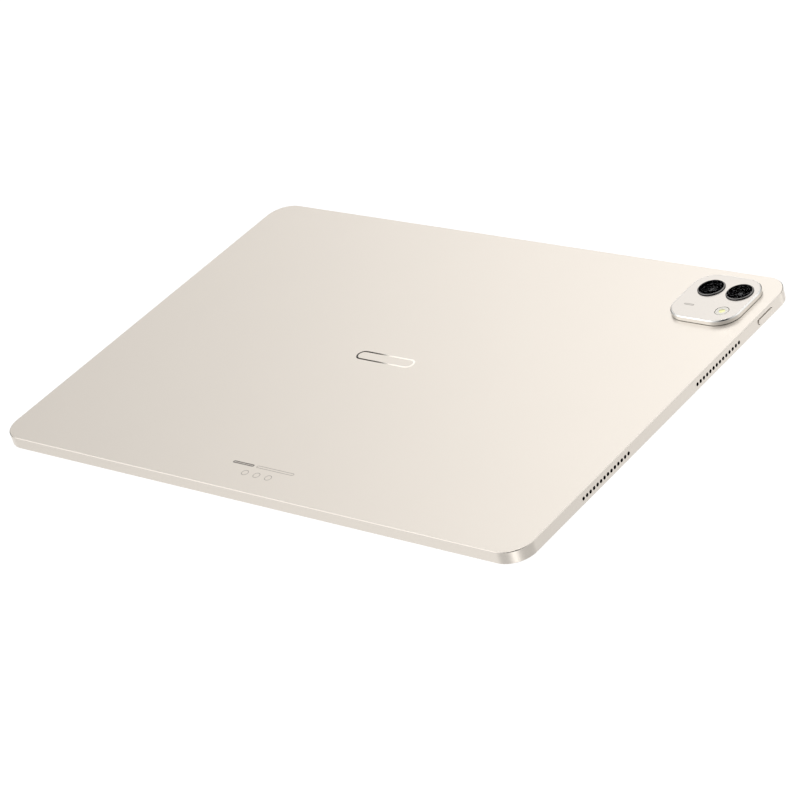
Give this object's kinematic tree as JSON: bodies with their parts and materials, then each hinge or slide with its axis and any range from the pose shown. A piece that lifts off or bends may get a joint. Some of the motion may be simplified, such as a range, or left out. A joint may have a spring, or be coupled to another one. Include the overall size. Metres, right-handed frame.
{
  "type": "tablet computer",
  "caption": "Thin slab tablet computer lying screen down, with a raised camera bump in one corner, drilled speaker grilles and side keys.",
  "frame": {"origin": "centre of the screen glass, on its outer face", "axes": "+X along the long side towards the power button, +Y towards the long side with the volume keys, +Z out of the back cover"},
  "size_m": [0.2943, 0.2016, 0.0087],
  "materials": {
    "anodised_body": "satin bead-blasted anodised cream",
    "polished_rim": "polished",
    "cover_plate": "satin",
    "lens_ring_black": "gloss black",
    "lens_glass": "clear, coated",
    "flash_lens": "frosted",
    "led_phosphor": "matt phosphor",
    "steel": "satin",
    "module_black": "matt",
    "barrel_black": "matt",
    "flex_film": "polyimide film",
    "screen_glass": "gloss, black behind",
    "adhesive": "matt foam tape",
    "panel_glass": "gloss",
    "backlight": "silver film",
    "circuit_board": "solder mask",
    "chip_black": "moulded epoxy",
    "graphite": "graphite film",
    "battery_pouch": "matt black pouch film",
    "speaker_plastic": "matt",
    "diaphragm_film": "metallised film",
    "speaker_mesh": "black woven mesh",
    "connector_plastic": "moulded",
    "microphone_brass": "gold plated can"
  },
  "bodies": {
    "chassis": {"rear_housing": "anodised_body", "camera_bump_rim": "polished_rim", "camera_cover_plate": "cover_plate", "lens_ring_main": "lens_ring_black", "lens_ring_wide": "lens_ring_black", "lens_window_main": "lens_glass", "lens_window_wide": "lens_glass", "flash_window": "flash_lens", "flash_led": "led_phosphor", "camera_bracket": "steel", "main_camera_body": "module_black", "wide_camera_body": "module_black", "wide_camera_lens": "barrel_black", "front_camera": "module_black", "camera_flex": "flex_film", "display_flex": "flex_film", "battery_flex": "flex_film", "usb_flex": "flex_film", "side_key_flex": "flex_film", "antennas": "flex_film", "cover_glass": "screen_glass", "display_adhesive": "adhesive", "display_panel": "panel_glass", "backlight_unit": "backlight", "logic_board": "circuit_board", "battery_circuit_board": "circuit_board", "usb_board": "circuit_board", "processor_shield": "steel", "radio_shield": "steel", "processor_chip": "chip_black", "memory_chips": "chip_black", "heat_spreader": "graphite", "battery_cell_left": "battery_pouch", "battery_cell_right": "battery_pouch", "usb_c_shell": "steel", "usb_c_tongue": "connector_plastic", "power_switch": "steel", "volume_switches": "steel", "microphones": "microphone_brass", "cover_magnets": "steel", "board_screws": "steel", "speaker_screws": "steel", "speaker_box_right_upper": "speaker_plastic", "speaker_mesh_right_upper": "speaker_mesh", "speaker_box_right_lower": "speaker_plastic", "speaker_mesh_right_lower": "speaker_mesh", "speaker_box_left_upper": "speaker_plastic", "speaker_mesh_left_upper": "speaker_mesh", "speaker_box_left_lower": "speaker_plastic", "speaker_mesh_left_lower": "speaker_mesh"},
    "power_button": {"power_button": "anodised_body"},
    "volume_up_key": {"volume_up_key": "anodised_body"},
    "volume_down_key": {"volume_down_key": "anodised_body"},
    "autofocus_barrel": {"main_camera_lens": "barrel_black"},
    "diaphragm_right_upper": {"speaker_diaphragm_right_upper": "diaphragm_film"},
    "diaphragm_right_lower": {"speaker_diaphragm_right_lower": "diaphragm_film"},
    "diaphragm_left_upper": {"speaker_diaphragm_left_upper": "diaphragm_film"},
    "diaphragm_left_lower": {"speaker_diaphragm_left_lower": "diaphragm_film"}
  },
  "joints": [
    {"name": "power_button_press", "type": "slide", "parent": "chassis", "child": "power_button", "axis": [-1, 0, 0], "range_m": [0, 0.00025], "stiffness_N_per_m": 6000},
    {"name": "volume_up_press", "type": "slide", "parent": "chassis", "child": "volume_up_key", "axis": [0, -1, 0], "range_m": [0, 0.00025], "stiffness_N_per_m": 6000},
    {"name": "volume_down_press", "type": "slide", "parent": "chassis", "child": "volume_down_key", "axis": [0, -1, 0], "range_m": [0, 0.00025], "stiffness_N_per_m": 6000},
    {"name": "autofocus", "type": "slide", "parent": "chassis", "child": "autofocus_barrel", "axis": [0, 0, 1], "range_m": [0, 0.00025], "stiffness_N_per_m": 200},
    {"name": "diaphragm_right_upper_stroke", "type": "slide", "parent": "chassis", "child": "diaphragm_right_upper", "axis": [0, 0, 1], "range_m": [-0.0002, 0.0002], "stiffness_N_per_m": 800},
    {"name": "diaphragm_right_lower_stroke", "type": "slide", "parent": "chassis", "child": "diaphragm_right_lower", "axis": [0, 0, 1], "range_m": [-0.0002, 0.0002], "stiffness_N_per_m": 800},
    {"name": "diaphragm_left_upper_stroke", "type": "slide", "parent": "chassis", "child": "diaphragm_left_upper", "axis": [0, 0, 1], "range_m": [-0.0002, 0.0002], "stiffness_N_per_m": 800},
    {"name": "diaphragm_left_lower_stroke", "type": "slide", "parent": "chassis", "child": "diaphragm_left_lower", "axis": [0, 0, 1], "range_m": [-0.0002, 0.0002], "stiffness_N_per_m": 800}
  ]
}
